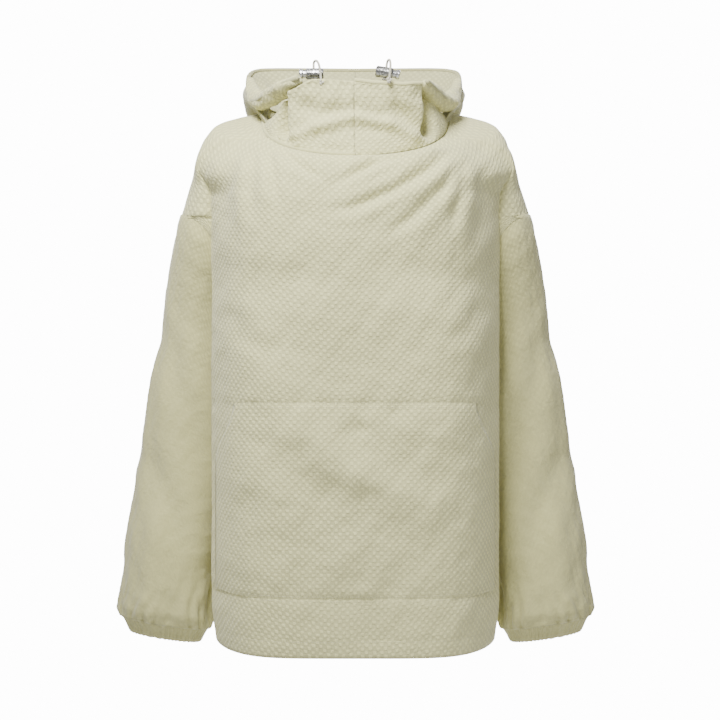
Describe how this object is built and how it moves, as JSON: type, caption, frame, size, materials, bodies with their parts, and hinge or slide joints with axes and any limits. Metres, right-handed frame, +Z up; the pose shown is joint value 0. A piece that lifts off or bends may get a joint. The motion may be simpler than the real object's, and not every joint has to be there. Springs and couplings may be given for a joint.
{
  "type": "hooded pullover smock",
  "caption": "Loose hooded pullover smock with a standing collar, drawcord hood, kangaroo pocket and elastic cuffs, held in its worn shape.",
  "frame": {"origin": "centre of the neck opening, level with the shoulder-neck points", "axes": "+Z up, towards the hood; the front faces -Y; the wearer's left is at +X"},
  "size_m": [0.6336, 0.3246, 0.7937],
  "materials": {
    "cloth": "matt blister weave",
    "hood_cloth": "matt smooth weave",
    "cord": "braided",
    "elastic": "woven elastic",
    "lock_body": "metal-coated",
    "lock_button": "metal-coated",
    "metal": "nickel-plated"
  },
  "bodies": {
    "body": {"front_panel": "cloth", "back_panel": "cloth", "hem_band": "cloth", "pocket": "cloth", "neck_tape": "cloth", "left_collar": "cloth", "right_collar": "cloth", "left_collar_casing": "cloth", "right_collar_casing": "cloth", "left_eyelet": "metal", "right_eyelet": "metal", "left_tail": "cord", "right_tail": "cord", "left_knot": "cord", "right_knot": "cord"},
    "left_arm": {"left_sleeve": "cloth", "left_cuff": "cloth", "left_cuff_elastic": "elastic"},
    "right_arm": {"right_sleeve": "cloth", "right_cuff": "cloth", "right_cuff_elastic": "elastic"},
    "hood": {"left_hood": "hood_cloth", "right_hood": "hood_cloth", "hood_rim_casing": "hood_cloth", "hood_drawcord": "cord"},
    "left_lock": {"left_lock_barrel": "lock_body", "left_lock_spring": "metal"},
    "left_button": {"left_lock_plunger": "lock_button"},
    "right_lock": {"right_lock_barrel": "lock_body", "right_lock_spring": "metal"},
    "right_button": {"right_lock_plunger": "lock_button"}
  },
  "joints": [
    {"name": "left_arm_lift", "type": "hinge", "parent": "body", "child": "left_arm", "pos_m": [0.19, 0.03, -0.06], "axis": [0, -1, 0], "range_deg": [0, 80]},
    {"name": "right_arm_lift", "type": "hinge", "parent": "body", "child": "right_arm", "pos_m": [-0.19, 0.03, -0.06], "axis": [0, 1, 0], "range_deg": [0, 80]},
    {"name": "hood_lift", "type": "hinge", "parent": "body", "child": "hood", "pos_m": [0, 0.022, 0.014], "axis": [1, 0, 0], "range_deg": [0, 95]},
    {"name": "left_lock_slide", "type": "slide", "parent": "body", "child": "left_lock", "axis": [0.1593, 0, 0.9872], "range_m": [0, 0.005]},
    {"name": "right_lock_slide", "type": "slide", "parent": "body", "child": "right_lock", "axis": [0, 0, 1], "range_m": [0, 0.005]},
    {"name": "left_button_press", "type": "slide", "parent": "left_lock", "child": "left_button", "axis": [-0.9872, 0, 0.1593], "range_m": [0, 0.0035], "stiffness_N_per_m": 400, "deforming": ["left_lock_spring"]},
    {"name": "right_button_press", "type": "slide", "parent": "right_lock", "child": "right_button", "axis": [1, 0, 0], "range_m": [0, 0.0035], "stiffness_N_per_m": 400, "deforming": ["right_lock_spring"]}
  ]
}
